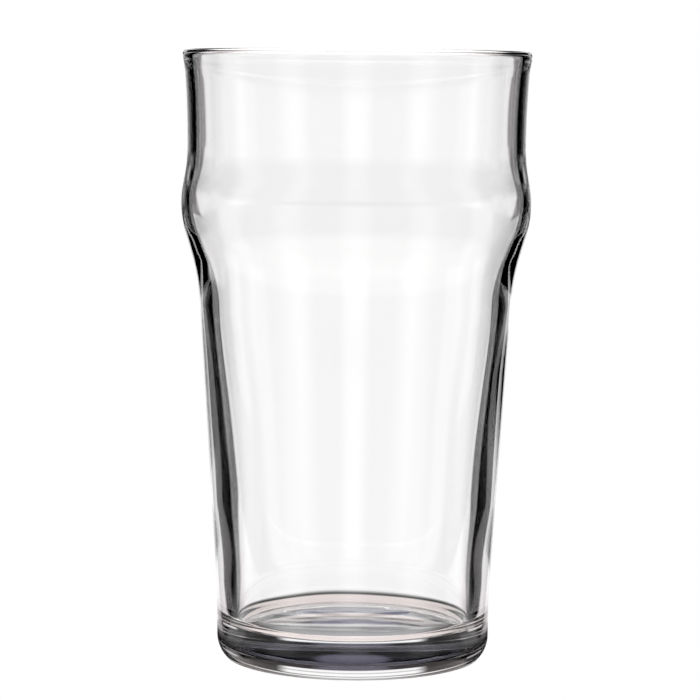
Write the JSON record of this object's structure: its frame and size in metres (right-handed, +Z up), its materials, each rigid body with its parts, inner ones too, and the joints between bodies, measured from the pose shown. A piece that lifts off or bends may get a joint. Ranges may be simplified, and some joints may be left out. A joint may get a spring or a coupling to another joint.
{
  "type": "pint glass",
  "caption": "Tall straight-sided drinking glass with a bulge ring below a rounded rim, a tapering wall and a thick flat-ringed base.",
  "frame": {"origin": "on the glass's axis, in the plane of the flat ring that it stands on", "axes": "+Z up along the glass's axis, from the base to the mouth; X and Y are any two directions across, because the glass is round"},
  "size_m": [0.087, 0.087, 0.152],
  "materials": {
    "clear_glass": "gloss"
  },
  "bodies": {
    "root": {"glass_body": "clear_glass"}
  },
  "joints": []
}
